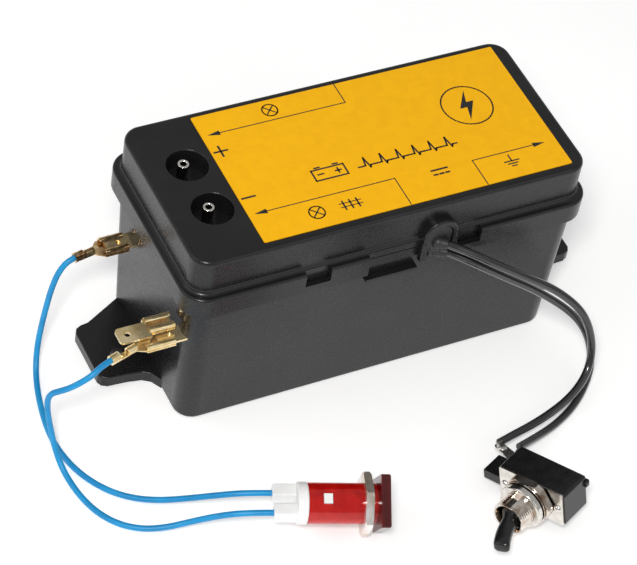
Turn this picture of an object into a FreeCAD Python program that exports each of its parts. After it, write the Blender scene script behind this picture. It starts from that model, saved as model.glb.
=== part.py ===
"""Built-in 12 V fence energizer with its control lamp, its switch and their leads (millimetres).

Frame: origin at the middle of the case's underside, +X along the case to the earth end,
+Y to the back, +Z up.  Each node is written to parts/NODE.step.
"""
import FreeCAD, Part
import math
import os

V = FreeCAD.Vector

# ---------------------------------------------------------------- driving sizes: the case
LID_L, LID_W, LID_TOP, LID_R = 140.0, 63.0, 78.0, 6.5     # cover above the ledge
WALL = 2.2
LEDGE_Z, SKIRT_Z = 64.0, 56.0                             # top and foot of the cover's skirt
SKIRT_L, SKIRT_W, SKIRT_R = 144.8, 69.0, 8.5
SKIRT_T = 1.8
TOP_EDGE_R, SKIRT_EDGE_R, COVE_R = 1.6, 0.9, 1.7
TUB_FOOT_L, TUB_FOOT_W, TUB_FOOT_X = 137.6, 59.4, 1.3     # tub at the underside
TUB_HEAD_L, TUB_HEAD_W, TUB_HEAD_X = 139.5, 64.0, 0.45    # tub just under the skirt
TUB_R, TUB_WALL, TUB_FLOOR = 6.5, 2.5, 3.0
RIM_L, RIM_W, RIM_R = 140.2, 64.6, 7.6                    # tub rim inside the skirt
RIM_FOOT_Z, RIM_TOP_Z = 57.0, 61.0
GASKET_T = 1.0
FIT = 0.3                                                 # clearance between separate parts

# ears at the two ends
EAR_T, EAR_HOLE_X, EAR_HOLE_Y, EAR_HOLE_R = 4.2, 77.2, 1.6, 2.2
EAR_END_LEFT, EAR_END_RIGHT = 86.6, 93.0

# label and the two supply wells
LABEL_X0, LABEL_X1, LABEL_Y, LABEL_T = -46.2, 64.5, 28.7, 0.3
WELL_X, WELL_Y, WELL_R, WELL_FLOOR_Z = -55.4, 9.9, 6.8, 70.5
WELL_WALL = 1.6
PIN_DX, PIN_DY, PIN_R, PIN_HOLE_R = -0.8, 1.2, 1.9, 1.05

# cable hood over the gland, at the front of the cover
HOOD_X, HOOD_Z, HOOD_R, MOUTH_R = 15.6, 66.0, 6.2, 4.3
LEAD_D = 2.8                                              # black leads
LAMP_LEAD_D = 2.0                                         # blue leads

# snap notches: short ones (x of their middles) and the long prise slot beside the hood
NOTCH_XS, NOTCH_W, NOTCH_FOOT_Z = (-27.7, 26.4), 8.8, 58.6
SLOT_X0, SLOT_X1 = -9.6, 9.0
SHELF_Z, SHELF_T = 52.4, 1.0

# blades (6.3 x 0.8 tabs)
BLADE_W, BLADE_T, BLADE_Z = 6.3, 0.8, 40.0
BLADE_LAMP_Y, BLADE_FENCE_Y, BLADE_EARTH_Y = 17.3, -24.7, -8.0
BLADE_OUT = 8.4

# circuit board
BOARD_X, BOARD_Y, BOARD_Z, BOARD_T = 60.0, 24.5, 50.0, 1.6
POST_X, POST_Y, POST_R = 52.5, 20.0, 3.4


# ---------------------------------------------------------------- helpers
def box(x0, x1, y0, y1, z0, z1):
    return Part.makeBox(x1 - x0, y1 - y0, z1 - z0, V(x0, y0, z0))


def cyl(radius, length, base, axis=V(0, 0, 1)):
    return Part.makeCylinder(radius, length, base, axis)


def rounded_wire(length, width, radius, z):
    """Closed outline of a rectangle with round corners, centred on the Z axis."""
    hx, hy, r = length / 2.0, width / 2.0, radius
    d = r * math.sqrt(0.5)
    edges = []
    corners = [(1, 1), (-1, 1), (-1, -1), (1, -1)]
    for i, (sx, sy) in enumerate(corners):
        cx, cy = sx * (hx - r), sy * (hy - r)
        a, b = V(sx * hx, cy, z), V(cx, sy * hy, z)
        if i % 2:
            a, b = b, a
        mid = V(cx + sx * d, cy + sy * d, z)
        edges.append(Part.Arc(a, mid, b).toShape())
        nx, ny = corners[(i + 1) % 4]
        ncx, ncy = nx * (hx - r), ny * (hy - r)
        start = V(cx, sy * hy, z) if i % 2 == 0 else V(sx * hx, cy, z)
        end = V(ncx, ny * hy, z) if i % 2 == 0 else V(nx * hx, ncy, z)
        edges.append(Part.LineSegment(start, end).toShape())
    return Part.Wire(Part.__sortEdges__(edges))


def slab(length, width, radius, z0, z1):
    face = Part.Face(rounded_wire(length, width, radius, z0))
    return face.extrude(V(0, 0, z1 - z0))


def tapered(foot, head, z0, z1):
    """Solid between two rounded outlines, each (length, width, radius, shift along X)."""
    wires = []
    for (length, width, radius, shift), z in ((foot, z0), (head, z1)):
        wire = rounded_wire(length, width, radius, z)
        wire.translate(V(shift, 0, 0))
        wires.append(wire)
    return Part.makeLoft(wires, True, True)


def prism(points, height):
    """Upright prism of a plan outline."""
    face = Part.Face(Part.makePolygon(points + [points[0]]))
    return face.extrude(V(0, 0, height))


def edges_where(shape, test):
    return [e for e in shape.Edges if test(e.BoundBox)]


def flat_at(z, tol=0.02):
    return lambda b: abs(b.ZMin - z) < tol and abs(b.ZMax - z) < tol


def hexagon(across_flats, height, z0, turn=0.0):
    r = across_flats / math.sqrt(3.0)
    pts = []
    for i in range(6):
        a = math.radians(60 * i + turn)
        pts.append(V(r * math.cos(a), r * math.sin(a), z0))
    return prism(pts, height)


def moved(shape, origin, x_dir, y_dir, z_dir):
    """Shape built in a local frame, set down in the world frame."""
    out = shape.copy()
    rot = FreeCAD.Rotation(x_dir, y_dir, z_dir, "ZXY")
    out.Placement = FreeCAD.Placement(origin, rot).multiply(out.Placement)
    return out


def write(name, shape):
    if shape.ShapeType == "Compound" and len(shape.Solids) == 1:
        shape = shape.Solids[0]
    shape.exportStep("parts/%s.step" % name)
    facts = (name, len(shape.Solids), shape.Volume, shape.isValid())
    print("%-22s solids %d  volume %9.1f  valid %s" % facts)


# ---------------------------------------------------------------- cords
def arc_radii(points):
    radii = []
    for p, q, s in zip(points, points[1:], points[2:]):
        a, b = q - p, s - q
        half = a.getAngle(b) / 2.0
        radii.append(0.45 * min(a.Length, b.Length) / math.tan(half))
    return radii


def cord(name, route, diameter):
    """Tube along straight runs joined by tangent arcs."""
    points = [V(*p) for p in route]
    radii = arc_radii(points)
    edges = []
    here = points[0]
    for i, radius in enumerate(radii):
        p, q, s = points[i], points[i + 1], points[i + 2]
        u, w = (p - q).normalize(), (s - q).normalize()
        half = (q - p).getAngle(s - q) / 2.0
        back = radius * math.tan(half)
        start, end = q + u * back, q + w * back
        bisector = (u + w).normalize()
        mid = q + bisector * (radius / math.cos(half) - radius)
        edges.append(Part.LineSegment(here, start).toShape())
        edges.append(Part.Arc(start, mid, end).toShape())
        here = end
    edges.append(Part.LineSegment(here, points[-1]).toShape())
    path = Part.Wire(edges)
    first = (points[1] - points[0]).normalize()
    ring = Part.Wire(Part.makeCircle(diameter / 2.0, points[0], first))
    tube = path.makePipeShell([ring], True, False)
    ideal = math.pi * diameter ** 2 / 4.0 * path.Length
    print("%s length %.1f  volume/ideal %.4f  radii/d %s"
          % (name, path.Length, tube.Volume / ideal, " ".join("%.1f" % (r / diameter) for r in radii)))
    return tube


# ---------------------------------------------------------------- case
def ear(side, end):
    """Fixing ear, a flat lug that widens to the wall at the back; side is -1 left, +1 right."""
    plan = [(62.0, -15.6), (67.6, -14.0), (69.6, -10.6), (72.4, -8.9), (77.0, -8.1),
            (end - 2.6, -7.6), (end - 0.8, -6.6), (end, -5.0), (end, 14.2), (end - 0.9, 16.0),
            (end - 2.8, 16.9), (81.0, 17.3), (67.6, 24.4), (62.0, 24.4)]
    body = prism([V(side * x, y, 0) for x, y in plan], EAR_T)
    ear_rims = edges_where(body, lambda b: flat_at(EAR_T)(b) and max(abs(b.XMin), abs(b.XMax)) > 70)
    body = body.makeFillet(0.5, ear_rims)
    hole = cyl(EAR_HOLE_R, EAR_T + 2, V(side * EAR_HOLE_X, EAR_HOLE_Y, -1))
    return body.cut(hole)


def case_tub():
    foot = (TUB_FOOT_L, TUB_FOOT_W, TUB_R, TUB_FOOT_X)
    head = (TUB_HEAD_L, TUB_HEAD_W, TUB_R, TUB_HEAD_X)
    outer = tapered(foot, head, 0, RIM_FOOT_Z)
    outer = outer.makeFillet(1.4, edges_where(outer, flat_at(0)))
    rim = slab(RIM_L, RIM_W, RIM_R, RIM_FOOT_Z, RIM_TOP_Z)
    tub = outer.fuse([rim, ear(-1, EAR_END_LEFT), ear(1, EAR_END_RIGHT)])
    thin = 2 * TUB_WALL
    inner_foot = (TUB_FOOT_L - thin, TUB_FOOT_W - thin, TUB_R - TUB_WALL, TUB_FOOT_X)
    inner_head = (TUB_HEAD_L - thin, TUB_HEAD_W - thin, TUB_R - TUB_WALL, TUB_HEAD_X)
    tub = tub.cut(tapered(inner_foot, inner_head, TUB_FLOOR, RIM_TOP_Z + 1))
    posts = []
    for sx in (-1, 1):
        for sy in (-1, 1):
            x, y = sx * POST_X, sy * POST_Y
            posts.append(cyl(POST_R, BOARD_Z - TUB_FLOOR + 0.5, V(x, y, TUB_FLOOR - 0.5)))
            rib_x = (x, 67.6) if sx > 0 else (-65.8, x)
            posts.append(box(rib_x[0], rib_x[1], y - 0.9, y + 0.9, TUB_FLOOR - 0.5, 32.0))
    tub = tub.fuse(posts)
    shelf = box(SLOT_X0, SLOT_X1, -34.2, -29.4, SHELF_Z, SHELF_Z + SHELF_T)
    tub = tub.fuse(shelf)
    for sx in (-1, 1):
        for sy in (-1, 1):
            tub = tub.cut(cyl(1.25, 14, V(sx * POST_X, sy * POST_Y, BOARD_Z - 12)))
    # slits for the blades and the notch that the gland sits in
    for side, y in ((-1, BLADE_LAMP_Y), (-1, BLADE_FENCE_Y), (1, BLADE_EARTH_Y)):
        x0, x1 = sorted((side * 60.0, side * 72.0))
        half = BLADE_W / 2.0 + 0.05
        tub = tub.cut(box(x0, x1, y - half, y + half, BLADE_Z - 0.45, BLADE_Z + 0.45))
    tub = tub.cut(box(HOOD_X - 3.6, HOOD_X + 3.6, -36, -27.2, 56.6, RIM_TOP_Z + 1))
    return tub.removeSplitter()


def case_lid():
    cover = slab(LID_L, LID_W, LID_R, SKIRT_Z, LID_TOP)
    cover = cover.makeFillet(TOP_EDGE_R, edges_where(cover, flat_at(LID_TOP)))
    skirt = slab(SKIRT_L, SKIRT_W, SKIRT_R, SKIRT_Z, LEDGE_Z)
    skirt = skirt.makeFillet(SKIRT_EDGE_R, edges_where(skirt, flat_at(LEDGE_Z)))
    lid = cover.fuse(skirt).removeSplitter()
    half_l, half_w = LID_L / 2 + 0.01, LID_W / 2 + 0.01
    cove = edges_where(lid, lambda b: flat_at(LEDGE_Z)(b) and max(b.XMax, -b.XMin) <= half_l
                       and max(b.YMax, -b.YMin) <= half_w)
    lid = lid.makeFillet(COVE_R, cove)
    hood = cyl(HOOD_R, 14, V(HOOD_X, -34.4, HOOD_Z), V(0, 1, 0))
    hood = hood.fuse(box(HOOD_X - HOOD_R, HOOD_X + HOOD_R, -34.4, -28, SKIRT_Z, HOOD_Z))
    face_edges = edges_where(hood, lambda b: max(abs(b.YMin + 34.4), abs(b.YMax + 34.4)) < 0.02
                             and b.ZMax > SKIRT_Z + 1)
    hood = hood.makeFillet(0.8, face_edges)
    lid = lid.fuse(hood)
    well_wall = WELL_R + WELL_WALL
    lid = lid.cut(slab(LID_L - 2 * WALL, LID_W - 2 * WALL, LID_R - WALL, SKIRT_Z - 1, LID_TOP - WALL))
    lid = lid.cut(slab(SKIRT_L - 2 * SKIRT_T, SKIRT_W - 2 * SKIRT_T, SKIRT_R - SKIRT_T, SKIRT_Z - 1,
                       RIM_TOP_Z + GASKET_T + 0.2))
    for sy in (-1, 1):
        y = sy * WELL_Y
        lid = lid.fuse(cyl(well_wall, LID_TOP - 1 - (WELL_FLOOR_Z - 1.6), V(WELL_X, y, WELL_FLOOR_Z - 1.6)))
        lid = lid.cut(cyl(WELL_R, 20, V(WELL_X, y, WELL_FLOOR_Z)))
        lid = lid.cut(cyl(PIN_R + 0.25, 20, V(WELL_X + PIN_DX, y + PIN_DY, WELL_FLOOR_Z - 3)))
    rims = edges_where(lid, lambda b: flat_at(LID_TOP)(b) and 12 < b.XLength < 14 and b.XMax < -45)
    lid = lid.makeFillet(0.5, rims)
    # mouth for the gland, snap notches and the long prise slot
    mouth = cyl(MOUTH_R, 10, V(HOOD_X, -36, HOOD_Z), V(0, 1, 0))
    mouth = mouth.fuse(box(HOOD_X - MOUTH_R, HOOD_X + MOUTH_R, -36, -26, SKIRT_Z - 1, HOOD_Z))
    lid = lid.cut(mouth)
    for x in NOTCH_XS:
        for side in (-1, 1):
            y0, y1 = sorted((side * 36.0, side * (SKIRT_W / 2 - SKIRT_T - 0.2)))
            lid = lid.cut(box(x - NOTCH_W / 2, x + NOTCH_W / 2, y0, y1, NOTCH_FOOT_Z, LEDGE_Z + 2))
    lid = lid.cut(box(SLOT_X0, SLOT_X1, -36, -(SKIRT_W / 2 - SKIRT_T - 0.2), SKIRT_Z - 1, LEDGE_Z + 2))
    lid = lid.cut(box(-12, 12, SKIRT_W / 2 - SKIRT_T - 0.2, 36, SKIRT_Z - 1, LEDGE_Z + 2))
    return lid.removeSplitter()


def lid_gasket():
    ring = slab(RIM_L - 0.4, RIM_W - 0.4, RIM_R - 0.2, RIM_TOP_Z, RIM_TOP_Z + GASKET_T)
    ring = ring.cut(slab(RIM_L - 4.6, RIM_W - 4.6, RIM_R - 2.3, RIM_TOP_Z - 1, RIM_TOP_Z + 2))
    return ring.cut(box(HOOD_X - 4.6, HOOD_X + 4.6, -36, -26, RIM_TOP_Z - 1, RIM_TOP_Z + 3))


def label_plate():
    plate = box(LABEL_X0, LABEL_X1, -LABEL_Y, LABEL_Y, LID_TOP, LID_TOP + LABEL_T)
    return plate.makeFillet(0.8, edges_where(plate, lambda b: b.ZLength > 0.2))


GLAND_FACE_Y, NOSE_LEN = -34.0, 3.2
LEAD_OUT = V(0.8, -0.6, 0)
GLAND_HOLES = ((15.0, 62.8), (15.6, 58.9))


def cable_gland():
    """Rubber grommet filling the mouth, with one short oval nose round both leads."""
    r = MOUTH_R - 0.3
    face, back = GLAND_FACE_Y, -26.8
    body = cyl(r, back - face, V(HOOD_X, face, HOOD_Z - 0.2), V(0, 1, 0))
    body = body.fuse(box(HOOD_X - r, HOOD_X + r, face, back, RIM_TOP_Z + 0.1, HOOD_Z - 0.2))
    body = body.fuse(box(HOOD_X - 3.3, HOOD_X + 3.3, face, back, 56.8, RIM_TOP_Z + 0.2))
    collar = box(HOOD_X - 5.4, HOOD_X + 5.4, back, back + 1.6, 54.0, HOOD_Z - 1)
    body = body.fuse(collar).removeSplitter()
    for x, z in GLAND_HOLES:
        ball = Part.makeSphere(2.3, V(x, face, z))
        nose = Part.makeCone(2.2, 1.9, NOSE_LEN, V(x, face, z), LEAD_OUT)
        body = body.fuse(ball.fuse(nose))
    (xa, za), (xb, zb) = GLAND_HOLES
    middle, tall = V((xa + xb) / 2.0, face, (za + zb) / 2.0), za - zb
    web = Part.makeBox(3.4, NOSE_LEN - 0.2, tall, V(-1.7, 0, -tall / 2.0))
    web = moved(web, middle, V(0.6, 0.8, 0), LEAD_OUT, V(0, 0, 1))
    return body.fuse(web)


def lead_tails():
    """Stripped inner ends of the black leads, from the gland's back down to the board."""
    tails = []
    for x, z in GLAND_HOLES:
        route = [(x, -25.2, z), (x, -22.6, z), (x, -20.4, z - 1.6), (x, -19.4, BOARD_Z + BOARD_T + 2.6),
                 (x, -19.2, BOARD_Z + BOARD_T + 0.1)]
        tails.append(cord("lead_tail", route, 1.6))
    return Part.makeCompound(tails)


def pin(sign):
    x, y = WELL_X + PIN_DX, sign * WELL_Y + PIN_DY
    foot = BOARD_Z + BOARD_T
    body = cyl(PIN_R, LID_TOP - 0.2 - foot, V(x, y, foot))
    body = body.fuse(cyl(3.2, 3.0, V(x, y, foot)))
    body = body.cut(cyl(PIN_HOLE_R, 9, V(x, y, LID_TOP - 8)))
    return body.makeFillet(0.3, edges_where(body, flat_at(LID_TOP - 0.2)))


def blade(side, y):
    """Flat tab with a hole, and a leg up to the board."""
    half, z0 = BLADE_W / 2.0, BLADE_Z - BLADE_T / 2.0
    wall = 69.0
    x0, x1 = sorted((side * 62.0, side * (wall + BLADE_OUT)))
    tab = box(x0, x1, y - half, y + half, z0, z0 + BLADE_T)
    tips = edges_where(tab, lambda b: b.ZLength > 0.5 and abs(b.XMin) > wall)
    tab = tab.makeFillet(1.2, tips)
    tab = tab.cut(cyl(0.9, 3, V(side * (wall + 4.0), y, z0 - 1)))
    lx0, lx1 = sorted((side * 62.0, side * 62.8))
    leg = box(lx0, lx1, y - 2.0, y + 2.0, z0, BOARD_Z + BOARD_T)
    fx0, fx1 = sorted((side * 58.6, side * 62.8))
    foot = box(fx0, fx1, y - 2.0, y + 2.0, BOARD_Z + BOARD_T, BOARD_Z + BOARD_T + BLADE_T)
    return tab.fuse([leg, foot]).removeSplitter()


# ---------------------------------------------------------------- electronics
def circuit_board():
    board = box(-BOARD_X, BOARD_X, -BOARD_Y, BOARD_Y, BOARD_Z, BOARD_Z + BOARD_T)
    board = board.makeFillet(2.0, edges_where(board, lambda b: b.ZLength > 1))
    for sx in (-1, 1):
        for sy in (-1, 1):
            board = board.cut(cyl(1.6, 4, V(sx * POST_X, sy * POST_Y, BOARD_Z - 1)))
    return board


def board_screws():
    screws = []
    for sx in (-1, 1):
        for sy in (-1, 1):
            x, y, z = sx * POST_X, sy * POST_Y, BOARD_Z + BOARD_T
            head = cyl(2.8, 1.9, V(x, y, z))
            head = head.makeFillet(0.8, edges_where(head, flat_at(z + 1.9)))
            cross = box(x - 1.7, x + 1.7, y - 0.3, y + 0.3, z + 1.0, z + 3)
            cross = cross.fuse(box(x - 0.3, x + 0.3, y - 1.7, y + 1.7, z + 1.0, z + 3))
            screws.append(head.cut(cross).fuse(cyl(1.2, 9.6, V(x, y, z - 9.6))))
    return Part.makeCompound(screws)


CORE_X, CORE_L, CORE_W, CORE_H, LEG = -14.0, 42.0, 15.0, 35.0, 7.0
CORE_Z = TUB_FLOOR + 0.3


def transformer_core():
    core = box(CORE_X - CORE_L / 2, CORE_X + CORE_L / 2, -CORE_W / 2, CORE_W / 2, CORE_Z, CORE_Z + CORE_H)
    window = (CORE_L - 4 * LEG) / 2
    for side in (-1, 1):
        mid = CORE_X + side * (LEG + window / 2)
        low, high = CORE_Z + LEG, CORE_Z + CORE_H - LEG
        core = core.cut(box(mid - window / 2, mid + window / 2, -20, 20, low, high))
    return core


def transformer_bobbin():
    z0, z1 = CORE_Z + LEG + 0.3, CORE_Z + CORE_H - LEG - 0.3
    reach = LEG + (CORE_L - 4 * LEG) / 2 - 0.3
    tube = box(CORE_X - LEG - 1.3, CORE_X + LEG + 1.3, -CORE_W / 2 - 1.3, CORE_W / 2 + 1.3, z0, z1)
    flanges = [box(CORE_X - reach, CORE_X + reach, -CORE_W / 2 - 6.5, CORE_W / 2 + 6.5, z, z + 1.2)
               for z in (z0, (z0 + z1) / 2 - 0.6, z1 - 1.2)]
    hollow = box(CORE_X - LEG - 0.3, CORE_X + LEG + 0.3, -CORE_W / 2 - 0.3, CORE_W / 2 + 0.3,
                 z0 - 1, z1 + 1)
    return tube.fuse(flanges).cut(hollow).removeSplitter()


def winding(upper):
    z0, z1 = CORE_Z + LEG + 0.3, CORE_Z + CORE_H - LEG - 0.3
    middle = (z0 + z1) / 2
    low, high = (middle + 0.7, z1 - 1.3) if upper else (z0 + 1.3, middle - 0.7)
    grow = 4.0 if upper else 4.8
    outer = box(CORE_X - LEG - 1.4 - grow, CORE_X + LEG + 1.4 + grow, -CORE_W / 2 - 1.4 - grow,
                CORE_W / 2 + 1.4 + grow, low, high)
    outer = outer.makeFillet(grow * 0.8, edges_where(outer, lambda b: b.ZLength > 2))
    hollow = box(CORE_X - LEG - 1.4, CORE_X + LEG + 1.4, -CORE_W / 2 - 1.4, CORE_W / 2 + 1.4, 0, 60)
    return outer.cut(hollow)


def storage_capacitor():
    can = box(14.0, 45.5, -9.0, 9.0, 20.5, BOARD_Z)
    return can.makeFillet(1.0, edges_where(can, lambda b: b.ZLength > 2 or flat_at(20.5)(b)))


def filter_capacitor():
    can = cyl(6.3, 25.0, V(-46.0, -10.0, BOARD_Z - 25.0))
    return can.makeFillet(0.8, edges_where(can, flat_at(BOARD_Z - 25.0)))


def thyristor():
    body = box(49.6, 54.0, -5.1, 5.1, 31.5, 41.0)
    tab = box(54.0, 55.3, -5.1, 5.1, 31.5 - 6.2, 41.0).cut(cyl(1.8, 4, V(53, 0, 28.2), V(1, 0, 0)))
    legs = [box(51.4, 51.9, y - 0.4, y + 0.4, 41.0, BOARD_Z) for y in (-2.54, 0, 2.54)]
    return body.fuse([tab] + legs)


def driver_transistor():
    body = box(-36.6, -28.9 - 4.0, 12.0, 19.6, 34.0, 44.6)
    legs = [box(-35.0, -34.5, y - 0.35, y + 0.35, 44.6, BOARD_Z) for y in (13.4, 15.8, 18.2)]
    return body.fuse(legs)


def axial_parts(places, radius, length):
    """Small axial components lying on the board, each body with its two bent legs as one solid."""
    solids = []
    z = BOARD_Z + BOARD_T + radius + 0.4
    for x, y in places:
        body = cyl(radius, length, V(x - length / 2, y, z), V(1, 0, 0))
        reach = length / 2 + 2.2
        wire = cyl(0.35, 2 * reach, V(x - reach, y, z), V(1, 0, 0))
        legs = []
        for leg_x in (x - reach, x + reach):
            legs.append(box(leg_x - 0.35, leg_x + 0.35, y - 0.35, y + 0.35, BOARD_Z + BOARD_T, z))
        solids.append(body.fuse([wire] + legs))
    return Part.makeCompound(solids)


# ---------------------------------------------------------------- push-on receptacles
def rolled_channel(x0, x1, y, z, width):
    """Base strip with its two edges rolled over, as on a push-on receptacle."""
    r = 1.15
    base = box(x0, x1, y - width / 2, y + width / 2, z - 0.95, z - 0.5)
    rolls = []
    for side in (-1, 1):
        yc = y + side * (width / 2 - r)
        tube = cyl(r, x1 - x0, V(x0, yc, z + 0.2), V(1, 0, 0))
        gap = box(x0 - 1, x1 + 1, min(yc, yc - side * 3), max(yc, yc - side * 3), z - 0.5, z + 0.72)
        rolls.append(tube.cut(gap).cut(cyl(r - 0.42, x1 - x0 + 2, V(x0 - 1, yc, z + 0.2), V(1, 0, 0))))
    out = base
    for roll in rolls:
        out = out.fuse(roll)
    return out


def crimp(x0, x1, y, z, radius, wall=0.4):
    """Barrel closed round the wire, open by a seam at the top."""
    barrel = cyl(radius, x1 - x0, V(x0, y, z), V(1, 0, 0))
    barrel = barrel.cut(cyl(radius - wall, x1 - x0 + 2, V(x0 - 1, y, z), V(1, 0, 0)))
    return barrel.cut(box(x0 - 1, x1 + 1, y - 0.15, y + 0.15, z, z + 4))


def receptacle(mouth_x, y, z, turn, body_len, tail_len):
    """Female 6.3 receptacle along -X; its tail with the two crimps is turned in plan by turn degrees."""
    body = rolled_channel(mouth_x - body_len, mouth_x, y, z, 7.6)
    root = mouth_x - body_len
    blade_room = box(root - 1, mouth_x + 1, y - 3.2, y + 3.2, z - 0.5, z + 0.35)
    foot, top = z - 0.95, z - 0.5
    shoulder = [V(root + 0.6, y + 3.7, foot), V(root - 0.4, y + 3.7, foot), V(root - 3.4, y + 1.1, foot),
                V(root - 3.4, y - 1.1, foot), V(root - 0.4, y - 3.7, foot), V(root + 0.6, y - 3.7, foot)]
    tail = prism(shoulder, top - foot)
    tail = tail.fuse(box(root - tail_len, root - 3.2, y - 1.0, y + 1.0, foot, top))
    tail = tail.fuse(crimp(root - 6.6, root - 3.2, y, z + 0.3, 1.25, 0.5))
    tail = tail.fuse(crimp(root - tail_len, root - tail_len + 3.4, y, z + CRIMP_UP, 1.55, 0.5))
    tail.rotate(V(root, y, z), V(0, 0, 1), turn)
    return body.cut(blade_room).fuse(tail)


CRIMP_UP = 0.6


def crimp_axis(mouth_x, y, z, turn, body_len, tail_len, beyond):
    """Point on the lead's line, beyond the end of the insulation crimp."""
    a = math.radians(turn)
    reach = tail_len + beyond
    return V(mouth_x - body_len - reach * math.cos(a), y - reach * math.sin(a), z + CRIMP_UP)


LAMP_TERMINAL = (-70.5, BLADE_LAMP_Y, BLADE_Z + 0.1, 10.0, 8.2, 10.6)
FENCE_TERMINAL = (-72.1, BLADE_FENCE_Y, BLADE_Z + 0.1, 17.0, 9.8, 13.4)


def receptacle_lamp():
    return receptacle(*LAMP_TERMINAL)


def receptacle_fence():
    """Piggyback receptacle: a raised strip beside the channel carries a male tab."""
    mouth_x, y, z = FENCE_TERMINAL[:3]
    lower = receptacle(*FENCE_TERMINAL)
    strip_y, tab_y, top = y + 3.95, y + 2.55, z + 2.5
    strip = rolled_channel(mouth_x - 7.2, mouth_x + 1.4, strip_y, top, 6.4)
    link = box(mouth_x - 7.8, mouth_x - 7.0, tab_y - 3.15, strip_y + 3.0, z - 0.95, top + 0.45)
    tab = box(mouth_x - 17.8, mouth_x - 7.0, tab_y - 3.15, tab_y + 3.15, top - 0.35, top + 0.45)
    tips = edges_where(tab, lambda b: b.ZLength > 0.5 and b.XMax < mouth_x - 17)
    tab = tab.makeFillet(1.4, tips)
    tab = tab.cut(cyl(1.0, 4, V(mouth_x - 14.4, tab_y, top - 2)))
    return lower.fuse([strip, link, tab])


# ---------------------------------------------------------------- control lamp
LAMP_BACK = V(-57.6, -77.8, 11.8)
LAMP_HEADING = -20.4
LAMP_ROLL = -14.0
SNAP_TURN = 24.0
TUBE_R, BEZEL, BEZEL_T = 6.6, 17.0, 3.2
S_RING0, S_RING1, S_NUT0, S_BEZEL = 7.4, 10.8, 28.4, 33.4
NUT_T = 2.6


def in_lamp(shape):
    """Lamp pieces are drawn with +Z along the lamp to its front and +X up."""
    h = math.radians(LAMP_HEADING)
    axis = V(math.cos(h), math.sin(h), 0)
    return moved(shape, LAMP_BACK, V(0, 0, 1), axis.cross(V(0, 0, 1)), axis)


def lamp_holder():
    ring = cyl(TUBE_R + 0.2, S_RING1 - S_RING0, V(0, 0, S_RING0))
    ring = ring.makeFillet(0.5, ring.Edges)
    plug = cyl(TUBE_R - 1.4, 3.6, V(0, 0, S_RING1 - 0.5))
    out = ring.fuse(plug)
    for side in (-1, 1):
        boot = box(-2.2, 2.2, side * 3.9 - 2.4, side * 3.9 + 2.4, 0, S_RING0 + 0.5)
        boot = boot.makeFillet(0.6, boot.Edges)
        out = out.fuse(boot)
        out = out.cut(cyl(LAMP_LEAD_D / 2 + 0.05, 4, V(0, side * 3.9, -1)))
    snap = box(TUBE_R - 2.2, TUBE_R + 0.1, -1.6, 1.6, S_RING1 + 4.6, S_RING1 + 7.4)
    arm = box(TUBE_R - 2.2, TUBE_R - 1.5, -1.6, 1.6, S_RING1 - 0.5, S_RING1 + 7.4)
    clip = snap.fuse(arm)
    clip.rotate(V(0, 0, 0), V(0, 0, 1), SNAP_TURN)
    return out.fuse(clip).removeSplitter()


def lamp_lens():
    tube = cyl(TUBE_R, S_BEZEL - S_RING1 + 0.5, V(0, 0, S_RING1 + 0.02))
    bezel = box(-BEZEL / 2, BEZEL / 2, -BEZEL / 2, BEZEL / 2, S_BEZEL, S_BEZEL + BEZEL_T)
    rims = edges_where(bezel, lambda b: b.ZLength > 1 or flat_at(S_BEZEL + BEZEL_T)(b))
    bezel = bezel.makeFillet(0.7, rims)
    bezel.rotate(V(0, 0, 0), V(0, 0, 1), 45.0 + LAMP_ROLL)
    out = tube.fuse(bezel)
    out = out.cut(cyl(TUBE_R - 1.1, S_BEZEL - S_RING1 + 1.2, V(0, 0, S_RING1 - 0.5)))
    window = box(TUBE_R - 2, TUBE_R + 1, -1.75, 1.75, S_RING1 + 4.4, S_RING1 + 7.6)
    window.rotate(V(0, 0, 0), V(0, 0, 1), SNAP_TURN)
    out = out.cut(window)
    for z in (S_NUT0 + NUT_T + 0.55, S_NUT0 + NUT_T + 1.45):
        groove = cyl(TUBE_R + 1, 0.45, V(0, 0, z)).cut(cyl(TUBE_R - 0.35, 0.45, V(0, 0, z)))
        out = out.cut(groove)
    return out


def lamp_nut():
    nut = hexagon(18.4, NUT_T, S_NUT0, 20.0)
    trim = cyl(10.4, NUT_T, V(0, 0, S_NUT0))
    trim = trim.makeChamfer(0.5, edges_where(trim, lambda b: b.ZLength < 0.01))
    nut = nut.common(trim)
    return nut.cut(cyl(TUBE_R + 0.05, 20, V(0, 0, S_NUT0 - 5)))


def lamp_bulb():
    glass = cyl(2.9, 12.0, V(0, 0, 18.5))
    return glass.fuse(Part.makeSphere(2.9, V(0, 0, 30.5))).removeSplitter()


def lamp_resistor():
    body = cyl(1.15, 6.0, V(-2.4, -3.6, 16.0))
    return body.fuse([cyl(0.3, 3.0, V(-2.4, -3.6, 22.0)), cyl(0.3, 1.6, V(-2.4, -3.6, 14.5))])


# ---------------------------------------------------------------- toggle switch
SWITCH_AT = V(23.6, -102.5, 9.54)
SWITCH_HEADING, SWITCH_DIP, SWITCH_TILT = 204.8, -1.7, 15.6
BODY_X, BODY_Y, BODY_DEEP = 13.0, 6.25, 12.6
PLATE_X, PLATE_Y, PLATE_T = 12.5, 6.6, 0.6
THREAD_R, BUSHING_TOP = 5.9, 12.5
PIVOT_Z, LEVER_REST = 9.0, 22.0


def switch_axes():
    h, d, t = (math.radians(a) for a in (SWITCH_HEADING, SWITCH_DIP, SWITCH_TILT))
    e3 = V(math.cos(h) * math.cos(d), math.sin(h) * math.cos(d), math.sin(d))
    flat = V(0, 0, 1).cross(e3).normalize()
    lift = e3.cross(flat)
    e1 = flat * math.cos(t) + lift * math.sin(t)
    return e1, e3.cross(e1), e3


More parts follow.
